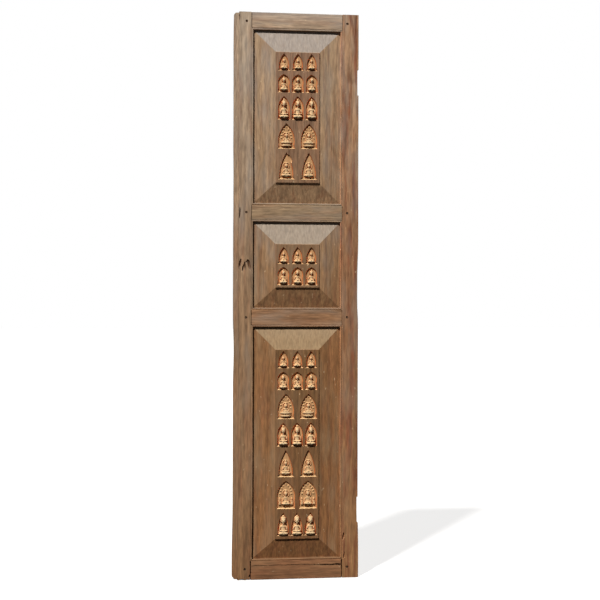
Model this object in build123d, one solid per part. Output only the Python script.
from build123d import *
import math
import os

# One leaf of a pair of old carved teak doors: a pegged frame of two stiles and four rails holding
# three raised panels, each with rows of small seated figures carved in arched niches.
# Millimetres, +Z up, X across the leaf, front towards -Y, origin at the bottom centre of its box.

# Leaf and frame
LEAF_HEIGHT = 2000.0
LEAF_WIDTH = 443.0
FRAME_THICKNESS = 40.0
MEETING_STILE_WIDTH = 68.0
HINGE_STILE_WIDTH = 64.0
TOP_RAIL_HEIGHT = 62.0
UPPER_MIDDLE_RAIL_HEIGHT = 65.0
LOWER_MIDDLE_RAIL_HEIGHT = 67.0
BOTTOM_RAIL_HEIGHT = 73.0
UPPER_OPENING_HEIGHT = 611.0
MIDDLE_OPENING_HEIGHT = 304.0

# Bead worked along the front edge of every opening with a quirk behind it, mitred in the corners
BEAD_WIDTH = 4.5
BEAD_ROUND = 1.4
QUIRK_WIDTH = 2.5
QUIRK_DEPTH = 2.2

# Rebate that laps over the other leaf, and the worn ends of its stile
REBATE_WIDTH = 17.0
REBATE_DEPTH = 18.0
TOP_WEAR_WIDTH = 30.0
TOP_WEAR_HEIGHT = 6.0
FOOT_CHIP_WIDTH = 20.0
FOOT_CHIP_HEIGHT = 9.0

# Gains that the lost hinges left in the other edge
HINGE_GAIN_LENGTH = 92.0
HINGE_GAIN_DEPTH = 4.0
HINGE_GAIN_INSET = 194.0

# Pegged mortise and tenon joints
TENON_THICKNESS = 14.0
TENON_LENGTH = 45.0
TENON_END_MARGIN = 14.0
SHOULDER_GAP = 1.0
PEG_RADIUS = 4.5
PEG_CLEARANCE = 0.1
PEG_INSET = 24.0
PEG_SUNK = 1.5
PEG_SIDES = 8

# Panels
PANEL_RECESS = 9.0
TONGUE_THICKNESS = 13.0
TONGUE_REACH = 9.0
GROOVE_CLEARANCE = 2.0
PANEL_EDGE_FLAT = 2.0
FIELD_WIDTH = 156.0
FIELD_PROUD = 15.0
FIELD_STEP = 3.2
TOP_SLOPE_WIDTH = 79.0
BOTTOM_SLOPE_WIDTH = 71.0
FIELD_SIDE_MARGIN = 7.0

# Niches and figures
NARROW_NICHE_WIDTH = 41.0
WIDE_NICHE_WIDTH = 64.0
NICHE_DEPTH = 5.0
NICHE_WALL_RUN = 2.6
FIGURE_RELIEF = 14.0
FIGURE_SINK = 1.5
FIGURE_LIFT = 8.0
TABLET_THICKNESS = 1.2
TABLET_MARGIN = 2.2
LEAF_NICHE_HEIGHT = 62.0
ROUND_NICHE_HEIGHT = 65.0
TALL_NICHE_HEIGHT = 83.0
SHRINE_NICHE_HEIGHT = 90.0
SPIRE_NICHE_HEIGHT = 95.0
CANOPY_NICHE_HEIGHT = 99.0
BELL_NICHE_HEIGHT = 83.0

CUT_OVERRUN = 2.0

# Heights of the rails and openings, from the bottom up
lower_opening_height = (
    LEAF_HEIGHT - TOP_RAIL_HEIGHT - UPPER_MIDDLE_RAIL_HEIGHT - LOWER_MIDDLE_RAIL_HEIGHT
    - BOTTOM_RAIL_HEIGHT - UPPER_OPENING_HEIGHT - MIDDLE_OPENING_HEIGHT
)
lower_opening_z = BOTTOM_RAIL_HEIGHT
lower_middle_rail_z = lower_opening_z + lower_opening_height
middle_opening_z = lower_middle_rail_z + LOWER_MIDDLE_RAIL_HEIGHT
upper_middle_rail_z = middle_opening_z + MIDDLE_OPENING_HEIGHT
upper_opening_z = upper_middle_rail_z + UPPER_MIDDLE_RAIL_HEIGHT
top_rail_z = upper_opening_z + UPPER_OPENING_HEIGHT

# Places across the leaf
left_edge = -LEAF_WIDTH / 2
right_edge = LEAF_WIDTH / 2
left_sight = left_edge + MEETING_STILE_WIDTH
right_sight = right_edge - HINGE_STILE_WIDTH
opening_center = (left_sight + right_sight) / 2

# Places through the leaf: the box is centred on Y, so its front reach sets where the frame's face lies
figure_proud = FIGURE_RELIEF - NICHE_DEPTH
face_y = (FIELD_PROUD + figure_proud - FRAME_THICKNESS) / 2
back_y = face_y + FRAME_THICKNESS
tongue_front_y = face_y + PANEL_RECESS
tongue_back_y = tongue_front_y + TONGUE_THICKNESS
field_y = face_y - FIELD_PROUD
niche_floor_y = field_y + NICHE_DEPTH
tenon_front_y = face_y + (FRAME_THICKNESS - TENON_THICKNESS) / 2
groove_reach = TONGUE_REACH + GROOVE_CLEARANCE
moulding_width = BEAD_WIDTH + QUIRK_WIDTH


def block(x_low, x_high, y_low, y_high, z_low, z_high):
    """A box between two corners."""
    size = (x_high - x_low, y_high - y_low, z_high - z_low)
    middle = ((x_low + x_high) / 2, (y_low + y_high) / 2, (z_low + z_high) / 2)
    return Pos(*middle) * Box(*size)


def standing(y):
    """The plane at depth y, seen from the front as (x, z)."""
    return Plane((0, y, 0), x_dir=(1, 0, 0), z_dir=(0, -1, 0))


def upright_slab(corners, y_low, y_high):
    """A slab through the leaf from an outline of (x, z) corners."""
    return extrude(standing(y_high) * make_face(Polyline(*corners, close=True)), amount=y_high - y_low)


def hipped_block(wide, wide_y, narrow, narrow_y):
    """A block with four sloping sides, mitred at the corners, between two standing rectangles."""
    x_low, x_high, z_low, z_high = wide
    x_left, x_right, z_bottom, z_top = narrow
    across = [(x_low, wide_y), (x_high, wide_y), (x_right, narrow_y), (x_left, narrow_y)]
    upright = [(wide_y, z_low), (wide_y, z_high), (narrow_y, z_top), (narrow_y, z_bottom)]
    level = Plane((0, 0, z_low))
    sideways = Plane((x_low, 0, 0), x_dir=(0, 1, 0), z_dir=(1, 0, 0))
    return (
        extrude(level * make_face(Polyline(*across, close=True)), amount=z_high - z_low, dir=(0, 0, 1))
        & extrude(sideways * make_face(Polyline(*upright, close=True)), amount=x_high - x_low, dir=(1, 0, 0))
    )


# Every opening and every rail as (bottom, top)
openings = {
    "upper_panel": (upper_opening_z, top_rail_z),
    "middle_panel": (middle_opening_z, upper_middle_rail_z),
    "lower_panel": (lower_opening_z, lower_middle_rail_z),
}
rails = {
    "top_rail": (top_rail_z, LEAF_HEIGHT),
    "upper_middle_rail": (upper_middle_rail_z, upper_opening_z),
    "lower_middle_rail": (lower_middle_rail_z, middle_opening_z),
    "bottom_rail": (0, lower_opening_z),
}


def around(z_low, z_high, margin):
    """The sides of an opening, widened by a margin, as (left, right, bottom, top)."""
    return left_sight - margin, right_sight + margin, z_low - margin, z_high + margin


def opening_cutters(z_low, z_high):
    """What each opening takes out of the frame: the groove for the panel, the quirk and the bead's round."""
    left, right, bottom, top = around(z_low, z_high, groove_reach)
    groove = block(left, right, tongue_front_y, tongue_back_y, bottom, top)
    proud_y = face_y - CUT_OVERRUN
    quirk_y = face_y + QUIRK_DEPTH
    left, right, bottom, top = around(z_low, z_high, moulding_width)
    bead_back = BEAD_WIDTH - BEAD_ROUND * (QUIRK_DEPTH + CUT_OVERRUN) / QUIRK_DEPTH
    bead = hipped_block(
        around(z_low, z_high, BEAD_WIDTH), quirk_y, around(z_low, z_high, bead_back), proud_y,
    )
    quirk = block(left, right, proud_y, quirk_y, bottom, top) - bead
    rounding = hipped_block(
        around(z_low, z_high, BEAD_ROUND + CUT_OVERRUN), proud_y,
        around(z_low, z_high, 0), face_y + BEAD_ROUND,
    )
    return [groove, quirk, rounding]


def rail_seat(z_low, z_high, gap):
    """A rail's body between its shoulders, mitred where its beads meet those of the stiles."""
    left = left_sight - moulding_width + gap
    right = right_sight + moulding_width - gap
    mitre = moulding_width - gap
    low_end = [(left, z_low), (right, z_low)]
    if z_low > 0:
        shoulder = z_low + mitre
        low_end = [(left, shoulder), (left_sight, z_low), (right_sight, z_low), (right, shoulder)]
    high_end = [(right, z_high), (left, z_high)]
    if z_high < LEAF_HEIGHT:
        shoulder = z_high - mitre
        high_end = [(right, shoulder), (right_sight, z_high), (left_sight, z_high), (left, shoulder)]
    return upright_slab(low_end + high_end, face_y, back_y)


def tenon_span(z_low, z_high):
    """Bottom and top of a rail's tenons: clear of the grooves, and of the ends of the leaf."""
    low_margin = groove_reach if z_low > 0 else TENON_END_MARGIN
    high_margin = groove_reach if z_high < LEAF_HEIGHT else TENON_END_MARGIN
    return z_low + low_margin, z_high - high_margin


def tenons(z_low, z_high):
    """The pair of tenons of one rail, from its shoulders into the stiles."""
    depth = (tenon_front_y, tenon_front_y + TENON_THICKNESS)
    height = tenon_span(z_low, z_high)
    return [
        block(left_sight - TENON_LENGTH, left_sight, *depth, *height),
        block(right_sight, right_sight + TENON_LENGTH, *depth, *height),
    ]


def peg_places():
    """Where a peg passes through each stile and tenon, as (x, z)."""
    return [
        (x, sum(tenon_span(*rail_span)) / 2)
        for rail_span in rails.values()
        for x in (left_sight - PEG_INSET, right_sight + PEG_INSET)
    ]


def peg_rod(x, z, radius, y_low, y_high):
    """A whittled eight-sided rod lying through the leaf."""
    section = standing(y_high) * Pos(x, z) * RegularPolygon(radius, PEG_SIDES)
    return extrude(section, amount=y_high - y_low)


def joint_pegs():
    """The pegs, driven a little below the face and flush behind."""
    return [
        peg_rod(x, z, PEG_RADIUS - PEG_CLEARANCE, face_y + PEG_SUNK, back_y) for x, z in peg_places()
    ]


frame_cutters = [cutter for z_low, z_high in openings.values() for cutter in opening_cutters(z_low, z_high)]
peg_holes = [
    peg_rod(x, z, PEG_RADIUS, face_y - CUT_OVERRUN, back_y + CUT_OVERRUN) for x, z in peg_places()
]


def rail_body(rail_span, gap):
    """One rail with its tenons, before it is grooved and beaded."""
    return rail_seat(*rail_span, gap) + tenons(*rail_span)


rail_seats = [rail_body(rail_span, 0) for rail_span in rails.values()]


def meeting_stile():
    """The stile that meets the other leaf, rebated along its outer front edge and worn at its ends."""
    stile = block(left_edge, left_sight, face_y, back_y, 0, LEAF_HEIGHT)
    rebate = block(
        left_edge - CUT_OVERRUN, left_edge + REBATE_WIDTH, face_y - CUT_OVERRUN, face_y + REBATE_DEPTH,
        -CUT_OVERRUN, LEAF_HEIGHT + CUT_OVERRUN,
    )
    worn_z = LEAF_HEIGHT - TOP_WEAR_HEIGHT
    top_corner = [(left_edge, LEAF_HEIGHT), (left_edge, worn_z), (left_edge + TOP_WEAR_WIDTH, LEAF_HEIGHT)]
    foot_corner = [(left_edge, 0), (left_edge, FOOT_CHIP_HEIGHT), (left_edge + FOOT_CHIP_WIDTH, 0)]
    worn = [
        upright_slab(corner, face_y - CUT_OVERRUN, back_y + CUT_OVERRUN)
        for corner in (top_corner, foot_corner)
    ]
    return stile - rail_seats - frame_cutters - peg_holes - rebate - worn


def hinge_stile():
    """The stile that carried the hinges, with a gain cut across its edge for each."""
    stile = block(right_sight, right_edge, face_y, back_y, 0, LEAF_HEIGHT)
    gains = [
        block(
            right_edge - HINGE_GAIN_DEPTH, right_edge + CUT_OVERRUN,
            face_y - CUT_OVERRUN, back_y + CUT_OVERRUN, gain_z, gain_z + HINGE_GAIN_LENGTH,
        )
        for gain_z in (HINGE_GAIN_INSET, LEAF_HEIGHT - HINGE_GAIN_INSET - HINGE_GAIN_LENGTH)
    ]
    return stile - rail_seats - frame_cutters - peg_holes - gains


# Each kind of niche: its width and height
NICHE_SIZES = {
    "leaf": (NARROW_NICHE_WIDTH, LEAF_NICHE_HEIGHT),
    "round": (NARROW_NICHE_WIDTH, ROUND_NICHE_HEIGHT),
    "tall": (NARROW_NICHE_WIDTH, TALL_NICHE_HEIGHT),
    "shrine": (WIDE_NICHE_WIDTH, SHRINE_NICHE_HEIGHT),
    "spire": (WIDE_NICHE_WIDTH, SPIRE_NICHE_HEIGHT),
    "canopy": (WIDE_NICHE_WIDTH, CANOPY_NICHE_HEIGHT),
    "bell": (NARROW_NICHE_WIDTH, BELL_NICHE_HEIGHT),
}
NICHE_COLUMNS = {NARROW_NICHE_WIDTH: 3, WIDE_NICHE_WIDTH: 2}

# Shares that place each arch: how high its sides rise to the spring line, how wide it is there, and
# how far the curve from there to the tip swells out
ARCH_SHARES = {
    "leaf": (0.14, 0.88, 0.13),
    "round": (0.48, 0.96, 0.22),
    "tall": (0.44, 0.97, 0.14),
    "shrine": (0.12, 0.95, 0.14),
    "spire": (0.08, 0.86, 0.07),
    "canopy": (0.30, 0.98, 0.16),
    "bell": (0.12, 0.94, 0.09),
}

# Rows of each panel from the top down, and the shares of its spare height above and below them all
PANEL_ROWS = {
    "upper_panel": ("leaf", "round", "tall", "shrine", "spire"),
    "middle_panel": ("leaf", "round"),
    "lower_panel": ("leaf", "round", "shrine", "tall", "spire", "canopy", "bell"),
}
SPARE_HEIGHT_SHARES = {
    "upper_panel": (0.08, 0.18),
    "middle_panel": (0.34, 0.30),
    "lower_panel": (0.06, 0.13),
}

# Each kind of figure: heights as shares of the niche's height, widths as shares of its width and
# depths as shares of the relief
HEIGHT_NAMES = ("floor", "seat", "lap", "shoulder", "chin", "crown", "top")
BODY_NAMES = ("seat", "lap", "chest", "head")
FIGURE_SHARES = {
    "leaf": ((0, 0.08, 0.24, 0.34, 0.37, 0.53, 0.61), (0.56, 0.58, 0.40, 0.20), (0.42, 0.42, 0.26, 0.36)),
    "round": ((0, 0.05, 0.26, 0.40, 0.44, 0.64, 0.72), (0.62, 0.68, 0.44, 0.26), (0.78, 0.86, 0.46, 0.66)),
    "tall": ((0, 0.05, 0.25, 0.37, 0.42, 0.70, 0.78), (0.84, 0.86, 0.60, 0.46), (0.92, 1, 0.55, 0.95)),
    "shrine": ((0, 0.12, 0.25, 0.38, 0.41, 0.54, 0.60), (0.62, 0.48, 0.30, 0.17), (0.46, 0.40, 0.26, 0.32)),
    "spire": ((0, 0.08, 0.20, 0.33, 0.36, 0.48, 0.55), (0.62, 0.48, 0.30, 0.16), (0.42, 0.36, 0.24, 0.30)),
    "canopy": ((0.05, 0.09, 0.2, 0.33, 0.37, 0.5, 0.57), (0.46, 0.52, 0.3, 0.2), (0.62, 0.7, 0.34, 0.5)),
    "bell": ((0, 0.09, 0.24, 0.36, 0.41, 0.74, 0.81), (0.86, 0.78, 0.54, 0.46), (0.80, 0.74, 0.45, 0.90)),
}
TABLET_KINDS = ("shrine", "spire", "canopy")
ATTENDANT_KIND = "canopy"
ATTENDANT_PLACE_SHARE = 0.66
ATTENDANT_SHARES = (
    (0.02, 0.05, 0.14, 0.21, 0.22, 0.30, 0.32), (0.15, 0.15, 0.13, 0.09), (0.40, 0.38, 0.32, 0.34),
)

# Levels of every figure from the seat up: a part of the body, shares of its width and depth, and how
# far the level lies between two of the named heights
LEVEL_SHARES = (
    ("seat", 0.90, 0.75, "floor", "seat", 0),
    ("seat", 1, 1, "floor", "seat", 1),
    ("lap", 1, 1, "seat", "lap", 0.40),
    ("lap", 0.86, 0.90, "seat", "lap", 0.90),
    ("chest", 0.86, 1, "seat", "lap", 1),
    ("chest", 1, 1, "lap", "shoulder", 0.70),
    ("head", 0.62, 0.45, "shoulder", "chin", 1),
    ("head", 0.80, 0.92, "chin", "crown", 0.12),
    ("head", 1, 1, "chin", "crown", 0.50),
    ("head", 0.62, 0.72, "chin", "crown", 1),
    ("head", 0.20, 0.35, "crown", "top", 1),
)

# Facets on each side of an arch, and the angles of the corners that round a figure's front
ARCH_FACETS = 4
FACET_ANGLES = (14, 45, 76, 104, 135, 166)
side_turn = math.radians(min(FACET_ANGLES))
front_turn_share = max(math.sin(math.radians(angle)) for angle in FACET_ANGLES)


def faceted_solid(levels):
    """A solid of flat chisel facets between closed levels that have the same number of points."""
    faces = [levels[0], levels[-1]]
    for near, far in zip(levels, levels[1:]):
        for corner in range(len(near)):
            faces.append([near[corner - 1], near[corner], far[corner - 1]])
            faces.append([near[corner], far[corner], far[corner - 1]])
    return Solid(Shell([Face(Wire.make_polygon(points)) for points in faces]))


def arch_level(kind, inset, y):
    """The outline of a niche at depth y, from the middle of its base, set in by a margin."""
    width, height = NICHE_SIZES[kind]
    spring_share, shoulder_share, swell_share = ARCH_SHARES[kind]
    half = width / 2 - inset
    rise = height - 2 * inset
    spring = inset + rise * spring_share
    shoulder = half * shoulder_share
    run_up = inset + rise - spring
    right = [(half, y, inset)]
    for step in range(ARCH_FACETS):
        along = step / ARCH_FACETS
        swell = swell_share * (1 - (2 * along - 1) ** 2)
        right.append((shoulder * (1 - along) + run_up * swell, y, spring + run_up * along + shoulder * swell))
    left = [(-x, y, z) for x, y, z in reversed(right)]
    return right + [(0, y, inset + rise)] + left


def niche_cutter(kind):
    """The hollow of one niche, its walls sloping in to a flat floor."""
    return faceted_solid([arch_level(kind, 0, field_y), arch_level(kind, NICHE_WALL_RUN, niche_floor_y)])


def niche_tablet(kind):
    """The low leaf-shaped plate that the wide niches keep behind their figures."""
    margin = NICHE_WALL_RUN + TABLET_MARGIN
    depths = (niche_floor_y + FIGURE_SINK, niche_floor_y - TABLET_THICKNESS)
    return faceted_solid([arch_level(kind, margin, y) for y in depths])


def figure_level(half_width, depth, z):
    """One level of a figure: straight sides let into the floor and a faceted round front."""
    root_y = niche_floor_y + FIGURE_SINK
    front = []
    for angle in FACET_ANGLES:
        turn = math.radians(angle)
        x = half_width * math.cos(turn) / math.cos(side_turn)
        front.append((x, niche_floor_y - depth * math.sin(turn) / front_turn_share, z))
    return [(half_width, root_y, z)] + front + [(-half_width, root_y, z)]


def seated_figure(niche_width, niche_height, height_shares, width_shares, depth_shares):
    """A figure sitting cross-legged on a low seat, level by level from the seat to the topknot."""
    heights = {name: share * niche_height for name, share in zip(HEIGHT_NAMES, height_shares)}
    halves = {name: share * niche_width / 2 for name, share in zip(BODY_NAMES, width_shares)}
    depths = {name: share * FIGURE_RELIEF for name, share in zip(BODY_NAMES, depth_shares)}
    levels = []
    for body, width_share, depth_share, low, high, rise_share in LEVEL_SHARES:
        z = FIGURE_LIFT + heights[low] + (heights[high] - heights[low]) * rise_share
        levels.append(figure_level(halves[body] * width_share, depths[body] * depth_share, z))
    return faceted_solid(levels)


def niche_figures(kind):
    """All that stands in one niche."""
    width, height = NICHE_SIZES[kind]
    carved = [seated_figure(width, height, *FIGURE_SHARES[kind])]
    if kind in TABLET_KINDS:
        carved.append(niche_tablet(kind))
    if kind == ATTENDANT_KIND:
        attendant = seated_figure(width, height, *ATTENDANT_SHARES)
        reach = ATTENDANT_PLACE_SHARE * width / 2
        carved += [Pos(-reach, 0, 0) * attendant, Pos(reach, 0, 0) * attendant]
    return carved


def niche_places(name):
    """The middle of every niche's base in a panel, as (kind, x, z)."""
    kinds = PANEL_ROWS[name]
    top_share, bottom_share = SPARE_HEIGHT_SHARES[name]
    z_low, z_high = openings[name]
    field_top = z_high - TOP_SLOPE_WIDTH
    spare = field_top - z_low - BOTTOM_SLOPE_WIDTH - sum(NICHE_SIZES[kind][1] for kind in kinds)
    gap = spare * (1 - top_share - bottom_share) / (len(kinds) - 1)
    z = field_top - spare * top_share
    places = []
    for kind in kinds:
        width, height = NICHE_SIZES[kind]
        columns = NICHE_COLUMNS[width]
        span = FIELD_WIDTH - 2 * FIELD_SIDE_MARGIN - width
        for column in range(columns):
            x = opening_center - span / 2 + span * column / (columns - 1)
            places.append((kind, x, z - height))
        z -= height + gap
    return places


cutters_by_kind = {kind: niche_cutter(kind) for kind in NICHE_SIZES}
figures_by_kind = {kind: niche_figures(kind) for kind in NICHE_SIZES}


def panel(name):
    """One raised panel: tongue, four mitred slopes, a proud field and its carved niches."""
    z_low, z_high = openings[name]
    tongue = block(
        left_sight - TONGUE_REACH, right_sight + TONGUE_REACH, tongue_front_y, tongue_back_y,
        z_low - TONGUE_REACH, z_high + TONGUE_REACH,
    )
    slope_left, slope_right = left_sight + PANEL_EDGE_FLAT, right_sight - PANEL_EDGE_FLAT
    slope_low, slope_high = z_low + PANEL_EDGE_FLAT, z_high - PANEL_EDGE_FLAT
    field_left, field_right = opening_center - FIELD_WIDTH / 2, opening_center + FIELD_WIDTH / 2
    field_low, field_high = z_low + BOTTOM_SLOPE_WIDTH, z_high - TOP_SLOPE_WIDTH
    slopes = hipped_block(
        (slope_left, slope_right, slope_low, slope_high), tongue_front_y,
        (field_left, field_right, field_low, field_high), field_y + FIELD_STEP,
    )
    field = block(field_left, field_right, field_y, tongue_front_y, field_low, field_high)
    places = niche_places(name)
    niches = [Pos(x, 0, z) * cutters_by_kind[kind] for kind, x, z in places]
    figures = [Pos(x, 0, z) * figure for kind, x, z in places for figure in figures_by_kind[kind]]
    return tongue + slopes + field - niches + figures


nodes = {
    "meeting_stile": meeting_stile(),
    "hinge_stile": hinge_stile(),
    "joint_pegs": Compound(children=joint_pegs()),
}
for name, rail_span in rails.items():
    nodes[name] = rail_body(rail_span, SHOULDER_GAP) - frame_cutters - peg_holes
for name in openings:
    nodes[name] = panel(name)

os.makedirs("parts", exist_ok=True)
for name, solid in nodes.items():
    export_step(solid, f"parts/{name}.step")
    box = solid.bounding_box()
    print(f"{name}: {len(solid.solids())} solid(s), {solid.volume:.0f} mm3, {box.min} to {box.max}")
